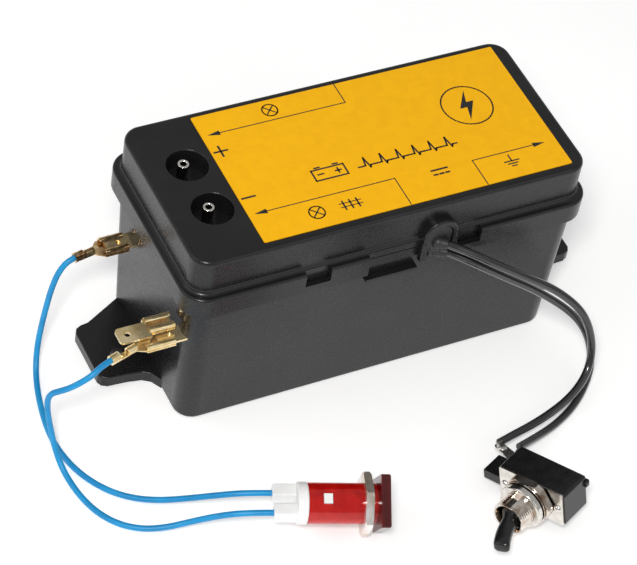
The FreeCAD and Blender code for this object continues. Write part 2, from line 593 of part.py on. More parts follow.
def in_switch(shape):
    """Switch pieces are drawn with +Z along the bushing and +X along the plate."""
    e1, e2, e3 = switch_axes()
    return moved(shape, SWITCH_AT, e1, e2, e3)


def switch_body():
    body = box(-BODY_X, BODY_X, -BODY_Y, BODY_Y, -BODY_DEEP, -PLATE_T)
    body = body.makeFillet(0.9, edges_where(body, lambda b: b.ZLength > 5 or flat_at(-BODY_DEEP)(b)))
    tongue = box(-19.8, -BODY_X + 1, -2.2, 1.2, -9.0, -PLATE_T)
    tongue = tongue.makeFillet(0.4, edges_where(tongue, lambda b: b.XMax < -19))
    nub = box(12.4, 14.0, 2.2, 4.4, -13.0, -11.2)
    nub = nub.makeFillet(0.5, edges_where(nub, lambda b: b.XMin > 13.9))
    body = body.fuse([tongue, nub])
    body = body.cut(box(-9.0, 9.0, -4.4, 4.4, -BODY_DEEP + 2.2, 1))
    return body.removeSplitter()


def switch_plate():
    plate = box(-PLATE_X, PLATE_X, -PLATE_Y, PLATE_Y, -PLATE_T, 0)
    plate = plate.makeFillet(0.8, edges_where(plate, lambda b: b.ZLength > 0.3))
    plate = plate.cut(cyl(THREAD_R - 0.55, 4, V(0, 0, -2)))
    for x in (-10.4, 10.4):
        plate = plate.cut(cyl(0.9, 4, V(x, 0, -2)))
    return plate


def switch_rivets():
    rivets = []
    for x in (-10.4, 10.4):
        head = Part.makeSphere(1.6, V(x, 0, -0.5)).common(cyl(1.7, 2, V(x, 0, 0)))
        rivets.append(head.fuse(cyl(0.85, 0.8, V(x, 0, -0.58))))
    return Part.makeCompound(rivets)


def switch_bushing():
    tube = cyl(THREAD_R, BUSHING_TOP, V(0, 0, 0))
    tube = tube.makeChamfer(0.5, edges_where(tube, flat_at(BUSHING_TOP)))
    pitch, count = 0.9, 6
    for i in range(count):
        z = 6.9 + pitch * i
        groove = Part.makeCone(THREAD_R + 0.2, THREAD_R - 0.35, pitch / 2, V(0, 0, z))
        upper = Part.makeCone(THREAD_R - 0.35, THREAD_R + 0.2, pitch / 2, V(0, 0, z + pitch / 2))
        groove = groove.fuse(upper)
        band = cyl(THREAD_R + 1, pitch, V(0, 0, z)).cut(groove)
        tube = tube.cut(band)
    bore = [cyl(4.5, 30, V(0, 0, -2)), cyl(4.95, 4, V(0, 0, -2)),
            Part.makeCone(4.5, 5.0, 1.3, V(0, 0, BUSHING_TOP - 1.3))]
    tube = tube.cut(bore)
    return tube.cut(box(-1.3, 1.3, 5.25, 8, 6.9, 20))


def switch_hex_nut():
    nut = hexagon(16.6, 2.8, 0.6, 0.0)
    trim = cyl(9.3, 2.8, V(0, 0, 0.6))
    trim = trim.makeChamfer(0.5, edges_where(trim, lambda b: b.ZLength < 0.01))
    return nut.common(trim).cut(cyl(THREAD_R + 0.05, 20, V(0, 0, -5)))


def switch_ring_nut():
    ring = cyl(7.9, 2.0, V(0, 0, 4.6))
    ring = ring.makeFillet(0.7, edges_where(ring, flat_at(6.6)))
    return ring.cut(cyl(THREAD_R + 0.05, 20, V(0, 0, -5)))


def switch_washer():
    ring = cyl(8.2, 0.5, V(0, 0, 3.6))
    return ring.cut(cyl(THREAD_R + 0.05, 20, V(0, 0, -5)))


def switch_lever():
    """Bat lever on its ball, drawn upright and then tipped to its resting side."""
    ball = Part.makeSphere(4.2, V(0, 0, PIVOT_Z)).common(cyl(4.2, 7.4, V(0, 0, PIVOT_Z - 2.6)))
    dome = Part.makeCone(3.6, 2.6, 3.0, V(0, 0, PIVOT_Z + 2.0))
    sections = []
    for z, a, b in ((4.8, 2.5, 2.4), (8.0, 2.65, 2.2), (12.5, 2.7, 2.1), (16.6, 2.75, 2.1)):
        sections.append(Part.Wire(Part.Ellipse(V(0, 0, PIVOT_Z + z), a, b).toShape()))
    bat = Part.makeLoft(sections, True)
    stem = cyl(1.1, 9.4, V(0, 0, PIVOT_Z - 11.6))
    bore = cyl(0.85, 20, V(0, -10, PIVOT_Z), V(0, 1, 0))
    lever = ball.fuse([dome, bat, stem]).cut(bore)
    lever.rotate(V(0, 0, PIVOT_Z), V(0, 1, 0), LEVER_REST)
    return lever


def switch_pivot():
    return cyl(0.8, 8.6, V(0, -4.3, PIVOT_Z), V(0, 1, 0))


ROCKER_Z, ROCKER_REST = -6.6, -9.0


def switch_rocker():
    """Contact bridge that the lever's stem tips over."""
    bar = box(-6.0, 6.0, -2.0, 2.0, ROCKER_Z, ROCKER_Z + 0.8)
    ends = [cyl(1.2, 0.5, V(s * 4.8, 0, ROCKER_Z - 0.5)) for s in (-1, 1)]
    pivot = cyl(0.7, 8.4, V(0, -4.2, ROCKER_Z + 0.4), V(0, 1, 0))
    bar = bar.fuse(ends + [pivot])
    bar.rotate(V(0, 0, ROCKER_Z + 0.4), V(0, 1, 0), ROCKER_REST)
    return bar


def lug_strip(root_x, root_y, root_z, length, turn):
    """Flat solder lug with an eye near its end, laid out from its root."""
    strip = box(-1.6, 1.6, 0, 0.7, -length, 0)
    ends = edges_where(strip, lambda b: b.YLength > 0.5 and b.ZMax < -length + 0.1)
    strip = strip.makeFillet(1.2, ends)
    strip = strip.cut(cyl(0.9, 4, V(0, -1, 2.0 - length), V(0, 1, 0)))
    strip.rotate(V(0, 0, 0), V(0, 1, 0), turn)
    strip.translate(V(root_x, root_y, root_z))
    return strip


def switch_lug_side():
    """Lug out of the body's end, above the tongue."""
    return lug_strip(-12.4, 1.3, -9.6, 10.8, 75.0).cut(switch_body())


def switch_lug_back():
    """Lug out of the body's back, beside the corner."""
    return lug_strip(-9.8, 0.0, -10.8, 7.8, 55.0).cut(switch_body())


# ---------------------------------------------------------------- routes of the leads
# Each route runs from the case end to the far end.
ROUTES = {
    "lead_lamp_upper": (LAMP_LEAD_D, (
        crimp_axis(*LAMP_TERMINAL, -3.1), crimp_axis(*LAMP_TERMINAL, 2.0), (-94.3, 15.1, 36.2),
        (-96.5, 14.4, 30.7), (-98.4, 13.3, 23.9), (-100.3, 11.9, 16.1), (-102.1, 9.9, 9.6),
        (-103.6, 7.0, 4.8), (-105.2, 2.6, 2.0), (-106.9, -3.6, 1.1), (-108.6, -11.5, 1.05),
        (-109.7, -20.1, 1.1), (-109.4, -28.0, 1.05), (-107.5, -36.4, 1.1), (-104.2, -43.4, 1.05),
        (-99.7, -49.5, 1.1), (-93.7, -54.7, 1.5), (-86.7, -58.9, 2.8), (-79.4, -62.8, 5.4),
        (-71.8, -67.2, 9.0), (-64.2, -71.18, 11.8), (-54.37, -74.84, 11.8))),
    "lead_lamp_lower": (LAMP_LEAD_D, (
        crimp_axis(*FENCE_TERMINAL, -3.1), crimp_axis(*FENCE_TERMINAL, 3.2), (-101.7, -31.2, 39.2),
        (-104.9, -31.0, 37.1), (-108.2, -30.1, 34.5), (-111.0, -28.4, 32.0), (-113.0, -26.8, 30.0),
        (-114.0, -26.2, 27.0), (-114.1, -26.7, 23.0), (-113.8, -27.8, 18.6), (-113.3, -29.1, 14.4),
        (-112.9, -30.6, 10.5), (-112.4, -32.9, 6.9), (-111.9, -36.1, 3.8), (-111.2, -40.8, 2.0),
        (-109.8, -48.0, 1.2), (-107.3, -55.2, 1.1), (-102.8, -61.7, 1.05), (-96.6, -66.3, 1.4),
        (-89.6, -69.2, 2.7), (-82.2, -71.4, 5.2), (-74.8, -74.6, 8.8), (-66.8, -78.53, 11.8),
        (-57.08, -82.15, 11.8))),
    "lead_switch_upper": (LEAD_D, (
        (17.56, -35.92, 62.8), (20.6, -38.2, 62.8), (26.0, -40.4, 59.5), (31.8, -42.3, 55.7),
        (39.3, -44.1, 50.8), (46.7, -46.0, 46.2), (53.8, -48.0, 41.8), (59.3, -50.2, 37.5),
        (64.5, -52.7, 32.2), (67.6, -55.3, 26.6), (69.2, -58.4, 19.2), (68.1, -61.6, 12.8),
        (64.0, -65.2, 9.0), (57.6, -68.2, 5.9), (49.6, -70.5, 4.2), (41.0, -72.8, 4.0),
        (32.3, -75.1, 5.1), (25.9, -77.4, 6.7))),
    "lead_switch_lower": (LEAD_D, (
        (18.16, -35.92, 58.9), (21.2, -38.2, 58.9), (27.0, -40.3, 55.0), (33.2, -41.6, 50.4),
        (41.0, -43.0, 44.9), (48.9, -44.6, 39.6), (56.1, -46.4, 34.0), (62.4, -48.3, 28.6),
        (67.7, -50.5, 22.8), (71.0, -53.0, 16.8), (72.3, -55.8, 10.6), (71.0, -59.3, 5.6),
        (66.6, -63.8, 2.4), (59.7, -69.0, 1.5), (51.3, -73.3, 1.5), (41.6, -77.0, 2.8),
        (31.6, -81.0, 6.2))),
}


def build():
    nodes = {
        "case_tub": case_tub(), "case_lid": case_lid(), "lid_gasket": lid_gasket(),
        "label_plate": label_plate(), "cable_gland": cable_gland(), "lead_tails": lead_tails(),
        "pin_plus": pin(1), "pin_minus": pin(-1),
        "blade_lamp": blade(-1, BLADE_LAMP_Y), "blade_fence": blade(-1, BLADE_FENCE_Y),
        "blade_earth": blade(1, BLADE_EARTH_Y),
        "circuit_board": circuit_board(), "board_screws": board_screws(),
        "transformer_core": transformer_core(), "transformer_bobbin": transformer_bobbin(),
        "primary_winding": winding(False), "secondary_winding": winding(True),
        "storage_capacitor": storage_capacitor(), "filter_capacitor": filter_capacitor(),
        "thyristor": thyristor(), "driver_transistor": driver_transistor(),
        "resistors": axial_parts(((-30, -4), (-30, 2), (36, 14), (36, -16)), 1.2, 6.5),
        "diodes": axial_parts(((-8, 12), (4, 12), (48, 6)), 1.5, 4.6),
        "receptacle_lamp": receptacle_lamp(), "receptacle_fence": receptacle_fence(),
    }
    for name, maker in (("lamp_holder", lamp_holder), ("lamp_lens", lamp_lens), ("lamp_nut", lamp_nut),
                        ("lamp_bulb", lamp_bulb), ("lamp_resistor", lamp_resistor)):
        nodes[name] = in_lamp(maker())
    for name, maker in (("switch_body", switch_body), ("switch_plate", switch_plate),
                        ("switch_rivets", switch_rivets), ("switch_bushing", switch_bushing),
                        ("switch_hex_nut", switch_hex_nut), ("switch_washer", switch_washer),
                        ("switch_ring_nut", switch_ring_nut), ("switch_lever", switch_lever),
                        ("switch_pivot", switch_pivot), ("switch_rocker", switch_rocker),
                        ("switch_lug_side", switch_lug_side), ("switch_lug_back", switch_lug_back)):
        nodes[name] = in_switch(maker())
    for name, (diameter, route) in ROUTES.items():
        nodes[name] = cord(name, route, diameter)
    return nodes


os.makedirs("parts", exist_ok=True)
for node, solid in build().items():
    write(node, solid)
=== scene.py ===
import math

import bpy
import bmesh
from mathutils import Matrix, Vector


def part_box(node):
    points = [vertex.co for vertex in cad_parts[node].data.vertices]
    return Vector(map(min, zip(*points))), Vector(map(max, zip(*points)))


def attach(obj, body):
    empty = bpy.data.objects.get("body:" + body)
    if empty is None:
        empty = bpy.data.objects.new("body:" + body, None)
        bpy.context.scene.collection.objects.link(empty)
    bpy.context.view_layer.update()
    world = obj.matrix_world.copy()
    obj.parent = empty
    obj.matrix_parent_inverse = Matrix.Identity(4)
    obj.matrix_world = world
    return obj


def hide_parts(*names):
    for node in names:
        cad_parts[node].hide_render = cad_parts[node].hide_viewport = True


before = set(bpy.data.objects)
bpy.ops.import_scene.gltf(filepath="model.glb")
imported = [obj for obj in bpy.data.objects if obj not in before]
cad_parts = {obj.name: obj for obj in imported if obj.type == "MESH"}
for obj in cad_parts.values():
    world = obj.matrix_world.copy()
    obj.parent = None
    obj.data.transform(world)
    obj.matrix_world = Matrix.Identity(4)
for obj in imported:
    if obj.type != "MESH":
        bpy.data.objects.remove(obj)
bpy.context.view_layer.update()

MM = 0.001
SCENE = bpy.context.scene


# ---------------------------------------------------------------- camera
FOCAL_LENGTH, SENSOR_WIDTH = 152.0, 36.0                  # in mm
CAMERA_AT = Vector((-0.3471, -0.5149, 0.6812))
CAMERA_RIGHT = Vector((0.8947, -0.4276, 0.1292))
CAMERA_AHEAD = Vector((0.3766, 0.5663, -0.7331))


def make_camera():
    """Camera of the photograph: lens, place and axes of the fitted view."""
    data = bpy.data.cameras.new("camera")
    data.sensor_width, data.lens = SENSOR_WIDTH, FOCAL_LENGTH
    data.clip_start, data.clip_end = 0.05, 20.0
    cam = bpy.data.objects.new("camera", data)
    ahead = CAMERA_AHEAD.normalized()
    up = CAMERA_RIGHT.normalized().cross(ahead).normalized()
    turn = Matrix((ahead.cross(up), up, -ahead)).transposed().to_4x4()
    cam.matrix_world = Matrix.Translation(CAMERA_AT) @ turn
    SCENE.collection.objects.link(cam)
    SCENE.camera = cam


make_camera()


# ---------------------------------------------------------------- leads
def tube(name, points, diameter, around):
    """Round tube over a NURBS curve, with its points and diameter in mm."""
    data = bpy.data.curves.new(name, "CURVE")
    data.dimensions = "3D"
    data.bevel_depth = 1.0                                # times each point's radius
    data.bevel_resolution = around
    data.use_fill_caps = True
    spline = data.splines.new("NURBS")
    spline.points.add(len(points) - 1)
    for knot, point in zip(spline.points, points):
        knot.co = (point[0] * MM, point[1] * MM, point[2] * MM, 1.0)
        knot.radius = diameter / 2 * MM
    spline.order_u = 3
    spline.use_endpoint_u = True
    spline.resolution_u = 12
    obj = bpy.data.objects.new(name, data)
    SCENE.collection.objects.link(obj)
    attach(obj, "case")
    return obj


def lead(name, node, points, diameter):
    """Free lead along its route, in place of a CAD node; lengths in mm."""
    obj = tube(name, points, diameter, 6)
    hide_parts(node)
    return obj


LAMP_UPPER = (
    (-86.09, 16.00, 40.7), (-91.11, 15.11, 40.7), (-94.3, 15.1, 36.2), (-96.5, 14.4, 30.7),
    (-98.4, 13.3, 23.9), (-100.3, 11.9, 16.1), (-102.1, 9.9, 9.6), (-103.6, 7.0, 4.8),
    (-105.2, 2.6, 2.0), (-106.9, -3.6, 1.1), (-108.6, -11.5, 1.05), (-109.7, -20.1, 1.1),
    (-109.4, -28.0, 1.05), (-107.5, -36.4, 1.1), (-104.2, -43.4, 1.05), (-99.7, -49.5, 1.1),
    (-93.7, -54.7, 1.5), (-86.7, -58.9, 2.8), (-79.4, -62.8, 5.4), (-71.8, -67.2, 9.0),
    (-64.2, -71.18, 11.8), (-54.37, -74.84, 11.8))
LAMP_LOWER = (
    (-91.75, -27.71, 40.7), (-97.77, -29.55, 40.7), (-101.7, -31.2, 39.2), (-104.9, -31.0, 37.1),
    (-108.2, -30.1, 34.5), (-111.0, -28.4, 32.0), (-113.0, -26.8, 30.0), (-114.0, -26.2, 27.0),
    (-114.1, -26.7, 23.0), (-113.8, -27.8, 18.6), (-113.3, -29.1, 14.4), (-112.9, -30.6, 10.5),
    (-112.4, -32.9, 6.9), (-111.9, -36.1, 3.8), (-111.2, -40.8, 2.0), (-109.8, -48.0, 1.2),
    (-107.3, -55.2, 1.1), (-102.8, -61.7, 1.05), (-96.6, -66.3, 1.4), (-89.6, -69.2, 2.7),
    (-82.2, -71.4, 5.2), (-74.8, -74.6, 8.8), (-66.8, -78.53, 11.8), (-57.08, -82.15, 11.8))
SWITCH_UPPER = (
    (17.56, -35.92, 62.8), (20.3, -38.0, 62.2), (25.8, -40.2, 59.4), (31.8, -42.3, 55.7),
    (39.3, -44.1, 50.8), (46.7, -46.0, 46.2), (53.8, -48.0, 41.8), (59.3, -50.2, 37.5),
    (64.5, -52.7, 32.2), (67.6, -55.3, 26.6), (69.2, -58.4, 19.2), (68.1, -61.6, 12.8),
    (64.0, -65.2, 9.0), (57.6, -68.2, 5.9), (49.6, -70.5, 4.2), (41.0, -72.8, 4.0),
    (32.3, -75.1, 5.1), (25.9, -77.4, 6.7))
SWITCH_LOWER = (
    (18.16, -35.92, 58.9), (20.8, -37.9, 58.3), (26.6, -40.1, 55.0), (33.2, -41.6, 50.4),
    (41.0, -43.0, 44.9), (48.9, -44.6, 39.6), (56.1, -46.4, 34.0), (62.4, -48.3, 28.6),
    (67.7, -50.5, 22.8), (71.0, -53.0, 16.8), (72.3, -55.8, 10.6), (71.0, -59.3, 5.6),
    (66.6, -63.8, 2.4), (59.7, -69.0, 1.5), (51.3, -73.3, 1.5), (41.6, -77.0, 2.8),
    (31.6, -81.0, 6.2))

leads = {
    "lamp_upper_flex": lead("lamp_upper_flex", "lead_lamp_upper", LAMP_UPPER, 2.0),
    "lamp_lower_flex": lead("lamp_lower_flex", "lead_lamp_lower", LAMP_LOWER, 2.0),
    "switch_upper_flex": lead("switch_upper_flex", "lead_switch_upper", SWITCH_UPPER, 2.8),
    "switch_lower_flex": lead("switch_lower_flex", "lead_switch_lower", SWITCH_LOWER, 2.8),
}


# ---------------------------------------------------------------- materials
def nodes_of(name):
    mat = bpy.data.materials.new(name)
    mat.use_nodes = True
    tree = mat.node_tree
    return mat, tree, tree.nodes["Principled BSDF"]


def noise(tree, scale, detail, stretch=None):
    """Noise over the object's own coordinates, in features per metre."""
    coords = tree.nodes.new("ShaderNodeTexCoord")
    field = tree.nodes.new("ShaderNodeTexNoise")
    field.inputs["Scale"].default_value = scale
    field.inputs["Detail"].default_value = detail
    source = coords.outputs["Object"]
    if stretch:
        place = tree.nodes.new("ShaderNodeMapping")
        place.inputs["Scale"].default_value = stretch
        tree.links.new(source, place.inputs["Vector"])
        source = place.outputs["Vector"]
    tree.links.new(source, field.inputs["Vector"])
    return field.outputs["Fac"]


NOISE_LOW, NOISE_HIGH = 0.35, 0.65                        # the noise values that are spread
PLAIN_IOR, LENS_IOR = 1.5, 1.49


def ramp(tree, value, low, high):
    """Noise spread between two numbers."""
    spread = tree.nodes.new("ShaderNodeMapRange")
    spread.inputs["From Min"].default_value = NOISE_LOW
    spread.inputs["From Max"].default_value = NOISE_HIGH
    spread.inputs["To Min"].default_value = low
    spread.inputs["To Max"].default_value = high
    tree.links.new(value, spread.inputs["Value"])
    return spread.outputs["Result"]


def two_tone(tree, value, dark, light):
    """Noise spread between two colours."""
    mix = tree.nodes.new("ShaderNodeMix")
    mix.data_type = "RGBA"
    mix.inputs["A"].default_value = (*dark, 1.0)
    mix.inputs["B"].default_value = (*light, 1.0)
    tree.links.new(ramp(tree, value, 0.0, 1.0), mix.inputs["Factor"])
    return mix.outputs["Result"]


def grain(tree, shader, height, strength, distance):
    bump = tree.nodes.new("ShaderNodeBump")
    bump.inputs["Strength"].default_value = strength
    bump.inputs["Distance"].default_value = distance
    tree.links.new(height, bump.inputs["Height"])
    tree.links.new(bump.outputs["Normal"], shader.inputs["Normal"])


def finish(name, dark, light, rough, tone_scale=120.0, grain_scale=2500.0, grain_depth=0.00002,
           strength=0.4, metallic=0.0, coat=0.0, coat_rough=0.1, specular=0.5, stretch=None,
           transmission=0.0, subsurface=0.0):
    """Material with broad colour variation, uneven gloss and a fine surface grain."""
    mat, tree, shader = nodes_of(name)
    broad = noise(tree, tone_scale, 4.0, stretch)
    fine = noise(tree, grain_scale, 2.0, stretch)
    tree.links.new(two_tone(tree, broad, dark, light), shader.inputs["Base Color"])
    tree.links.new(ramp(tree, fine, rough[0], rough[1]), shader.inputs["Roughness"])
    grain(tree, shader, fine, strength, grain_depth)
    shader.inputs["Metallic"].default_value = metallic
    shader.inputs["Coat Weight"].default_value = coat
    shader.inputs["Coat Roughness"].default_value = coat_rough
    shader.inputs["Specular IOR Level"].default_value = specular
    shader.inputs["Transmission Weight"].default_value = transmission
    shader.inputs["IOR"].default_value = PLAIN_IOR
    shader.inputs["Subsurface Weight"].default_value = subsurface
    if subsurface:
        shader.inputs["Subsurface Radius"].default_value = (0.003, 0.002, 0.002)
    return mat


MATS = {
    "case": finish("case_black", (0.007, 0.007, 0.008), (0.011, 0.011, 0.012), (0.24, 0.34),
                   tone_scale=60.0, grain_scale=1500.0, grain_depth=0.00002, strength=0.2,
                   specular=0.38),
    "label": finish("label_yellow", (0.95, 0.475, 0.001), (1.00, 0.51, 0.001), (0.38, 0.48),
                    tone_scale=300.0, grain_scale=3500.0, grain_depth=0.00001, strength=0.15,
                    specular=0.22),
    "ink": finish("label_ink", (0.012, 0.012, 0.012), (0.02, 0.02, 0.02), (0.35, 0.5)),
    "rubber": finish("rubber_black", (0.012, 0.012, 0.012), (0.022, 0.022, 0.022), (0.38, 0.55)),
    "tinned": finish("tinned", (0.55, 0.53, 0.50), (0.80, 0.78, 0.74), (0.20, 0.34), 500.0,
                     strength=0.12, metallic=1.0),
    "nickel": finish("nickel", (0.68, 0.65, 0.60), (0.83, 0.80, 0.76), (0.10, 0.18), 400.0,
                     strength=0.06, metallic=1.0),
    # nickel of the switch's bushing, hex nut and washer; its dark brown tone is a painted brown
    # reflection, spread at random
    "nickel_painted_reflection": finish("nickel_painted_reflection", (0.34, 0.23, 0.15), (0.90, 0.86, 0.80), (0.08, 0.16), 210.0,
                          strength=0.06, metallic=1.0),
    "brass": finish("brass", (0.80, 0.60, 0.28), (1.0, 0.84, 0.52), (0.12, 0.22), 260.0,
                    strength=0.08, metallic=0.86),
    # darker copy of the brass for the lamp receptacle; its dark brown tone is painted shade and
    # painted dark reflection, spread at random
    "brass_painted_shade": finish("brass_painted_shade", (0.30, 0.13, 0.05), (0.92, 0.70, 0.38), (0.12, 0.22), 420.0,
                         strength=0.08, metallic=0.95),
    "board": finish("board_green", (0.02, 0.10, 0.04), (0.03, 0.14, 0.05), (0.30, 0.45)),
    "steel": finish("core_steel", (0.16, 0.16, 0.17), (0.26, 0.26, 0.28), (0.35, 0.5), 300.0,
                    metallic=1.0, stretch=(1.0, 20.0, 1.0)),
    "copper": finish("copper", (0.55, 0.20, 0.08), (0.72, 0.32, 0.14), (0.2, 0.35), 800.0,
                     metallic=1.0),
    "film": finish("film_yellow", (0.55, 0.42, 0.06), (0.62, 0.50, 0.10), (0.2, 0.35)),
    "sleeve": finish("sleeve_blue", (0.02, 0.05, 0.20), (0.03, 0.07, 0.26), (0.2, 0.35)),
    "epoxy": finish("epoxy_black", (0.012, 0.012, 0.012), (0.025, 0.025, 0.025), (0.45, 0.6)),
    "tan": finish("resistor_tan", (0.50, 0.36, 0.20), (0.58, 0.44, 0.26), (0.35, 0.5)),
    "white": finish("white_plastic", (0.86, 0.86, 0.85), (0.93, 0.93, 0.92), (0.25, 0.38),
                    subsurface=0.15),
    "nut": finish("nut_bright", (0.52, 0.40, 0.28), (0.95, 0.92, 0.90), (0.10, 0.20), 120.0,
                  strength=0.06, metallic=0.75),
    "blue": finish("insulation_blue", (0.0005, 0.24, 0.54), (0.001, 0.30, 0.64), (0.34, 0.46),
                   tone_scale=200.0),
    "black": finish("insulation_black", (0.006, 0.006, 0.006), (0.010, 0.010, 0.010), (0.14, 0.24),
                    tone_scale=200.0, coat=0.8, coat_rough=0.05),
    "phenolic": finish("phenolic", (0.007, 0.007, 0.007), (0.012, 0.012, 0.012), (0.16, 0.28),
                       tone_scale=300.0),
    "glass": finish("bulb_glass", (0.9, 0.55, 0.35), (0.95, 0.62, 0.40), (0.05, 0.12),
                    transmission=0.9),
}


LAMP_AXIS = (0.9373, -0.3486, 0.0)                        # from the lamp's leads to its front square
SQUARE_FROM, SQUARE_FULL = 0.0052, 0.0068                 # places along it, in metres


def red_lens():
    """Clear red moulding, deeper in the thick front square than in the thin tube."""
    mat, tree, shader = nodes_of("lens_red")
    thin = two_tone(tree, noise(tree, 220.0, 3.0), (0.68, 0.004, 0.003), (0.88, 0.014, 0.007))
    where = tree.nodes.new("ShaderNodeTexCoord")
    along = tree.nodes.new("ShaderNodeVectorMath")
    along.operation = "DOT_PRODUCT"
    along.inputs[1].default_value = LAMP_AXIS
    tree.links.new(where.outputs["Object"], along.inputs[0])
    deep = tree.nodes.new("ShaderNodeMapRange")
    deep.inputs["From Min"].default_value = SQUARE_FROM
    deep.inputs["From Max"].default_value = SQUARE_FULL
    tree.links.new(along.outputs["Value"], deep.inputs["Value"])
    mix = tree.nodes.new("ShaderNodeMix")
    mix.data_type = "RGBA"
    mix.inputs["B"].default_value = (0.115, 0.008, 0.009, 1.0)
    tree.links.new(deep.outputs["Result"], mix.inputs["Factor"])
    tree.links.new(thin, mix.inputs["A"])
    tree.links.new(mix.outputs["Result"], shader.inputs["Base Color"])
    tree.links.new(ramp(tree, noise(tree, 1800.0, 2.0), 0.06, 0.14), shader.inputs["Roughness"])
    grain(tree, shader, noise(tree, 900.0, 2.0), 0.25, 0.00005)
    shader.inputs["Transmission Weight"].default_value = 0.55
    shader.inputs["IOR"].default_value = LENS_IOR
    return mat


MATS["lens"] = red_lens()

WEARS = {
    "case": ("case_tub", "case_lid"),
    "label": ("label_plate",),
    "rubber": ("lid_gasket", "cable_gland"),
    "tinned": ("lead_tails", "switch_lug_side", "switch_lug_back", "blade_earth"),
    "nickel": ("pin_plus", "pin_minus", "switch_plate", "switch_rivets", "switch_ring_nut",
               "switch_pivot", "board_screws"),
    "nickel_painted_reflection": ("switch_bushing", "switch_hex_nut", "switch_washer"),
    "brass": ("receptacle_fence", "blade_lamp", "blade_fence", "switch_rocker"),
    "brass_painted_shade": ("receptacle_lamp",),
    "board": ("circuit_board",),
    "steel": ("transformer_core",),
    "copper": ("primary_winding", "secondary_winding"),
    "film": ("filter_capacitor",),
    "sleeve": ("storage_capacitor",),
    "epoxy": ("transformer_bobbin", "thyristor", "driver_transistor", "diodes"),
    "tan": ("resistors", "lamp_resistor"),
    "lens": ("lamp_lens",),
    "white": ("lamp_holder",),
    "nut": ("lamp_nut",),
    "glass": ("lamp_bulb",),
    "phenolic": ("switch_body", "switch_lever"),
}


def wear(obj, mat):
    if not obj.data.materials:
        obj.data.materials.append(mat)
    for i in range(len(obj.data.materials)):
        obj.data.materials[i] = mat


for key, names in WEARS.items():
    for node in names:
        wear(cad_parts[node], MATS[key])
for name, obj in leads.items():
    colour = "blue" if name.startswith("lamp") else "black"
    obj.data.materials.append(MATS[colour])


# ---------------------------------------------------------------- label
LABEL_LO, LABEL_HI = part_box("label_plate")
INK_HIGH, INK_SUNK, LABEL_CORNER = 0.03 * MM, 0.02 * MM, 0.6 * MM
FILM_TOP = LABEL_HI.z - INK_HIGH
STROKE = {"arrow": 0.36, "rail": 0.35, "lamp": 0.45, "earth": 0.5, "ring": 0.5, "post": 0.6,
          "battery": 0.6, "pulse": 0.6, "pole": 0.7, "direct": 0.7}     # widths in mm
HEAD_LONG, HEAD_HALF, HEAD_LAP = 4.4, 1.0, 0.4            # arrow heads, in mm


def mesh_object(name, build, mat, body, smooth=False):
    mesh = bpy.data.meshes.new(name)
    work = bmesh.new()
    build(work)
    bmesh.ops.recalc_face_normals(work, faces=work.faces)
    work.to_mesh(mesh)
    work.free()
    if smooth:
        mesh.shade_smooth()
    obj = bpy.data.objects.new(name, mesh)
    SCENE.collection.objects.link(obj)
    mesh.materials.append(mat)
    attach(obj, body)
    return obj


def plate(work, outline, z0, z1):
    """Flat plate of a plan outline, points in metres."""
    low = [work.verts.new((x, y, z0)) for x, y in outline]
    high = [work.verts.new((x, y, z1)) for x, y in outline]
    work.faces.new(low[::-1])
    work.faces.new(high)
    for i in range(len(outline)):
        j = (i + 1) % len(outline)
        work.faces.new((low[i], low[j], high[j], high[i]))


def rounded(x0, x1, y0, y1, r, steps=6):
    pts = []
    for cx, cy, a in ((x1 - r, y1 - r, 0), (x0 + r, y1 - r, 90), (x0 + r, y0 + r, 180),
                      (x1 - r, y0 + r, 270)):
        for k in range(steps + 1):
            t = math.radians(a + 90.0 * k / steps)
            pts.append((cx + r * math.cos(t), cy + r * math.sin(t)))
    return pts


def label_film(work):
    outline = rounded(LABEL_LO.x, LABEL_HI.x, LABEL_LO.y, LABEL_HI.y, LABEL_CORNER)
    plate(work, outline, LABEL_LO.z, FILM_TOP)


film = mesh_object("label_film", label_film, MATS["label"], "lid")
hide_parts("label_plate")


def ink_shape(work, outline):
    plate(work, [(x * MM, y * MM) for x, y in outline], FILM_TOP - INK_SUNK, LABEL_HI.z)


def ink_line(work, a, b, width):
    """Straight printed stroke between two plan points in mm."""
    along = (Vector(b) - Vector(a)).normalized() * width / 2
    side = Vector((-along.y, along.x))
    a, b = Vector(a) - along, Vector(b) + along
    ink_shape(work, [a - side, b - side, b + side, a + side])


def ink_ring(work, centre, radius, width, steps=28):
    """Printed ring, as short strokes that meet."""
    pts = []
    for k in range(steps + 1):
        t = math.tau * k / steps
        pts.append((centre[0] + radius * math.cos(t), centre[1] + radius * math.sin(t)))
    for a, b in zip(pts, pts[1:]):
        ink_line(work, a, b, width)


def ink_arrow(work, tip, tail, width):
    """Arrow from tail to tip, its head a slim triangle."""
    tip, tail = Vector(tip), Vector(tail)
    back = (tail - tip).normalized()
    side = Vector((-back.y, back.x))
    heel = tip + back * HEAD_LONG
    ink_shape(work, [tip, heel + side * HEAD_HALF, heel - side * HEAD_HALF])
    ink_line(work, heel - back * HEAD_LAP, tail, width)


def lamp_sign(work, centre, r):
    """Lamp: a circle with a cross."""
    ink_ring(work, centre, r, STROKE["lamp"])
    for t in (45, 135):
        d = Vector((math.cos(math.radians(t)), math.sin(math.radians(t)))) * r
        ink_line(work, Vector(centre) - d, Vector(centre) + d, STROKE["lamp"])


def fence_sign(work, centre, h):
    """Fence: three posts and two rails."""
    x, y = centre
    for dx in (-1.1 * h, 0.0, 1.1 * h):
        ink_line(work, (x + dx, y - h * 0.8), (x + dx, y + h * 0.8), STROKE["post"])
    for dy in (-0.3 * h, 0.4 * h):
        ink_line(work, (x - 1.7 * h, y + dy), (x + 1.7 * h, y + dy), STROKE["rail"])


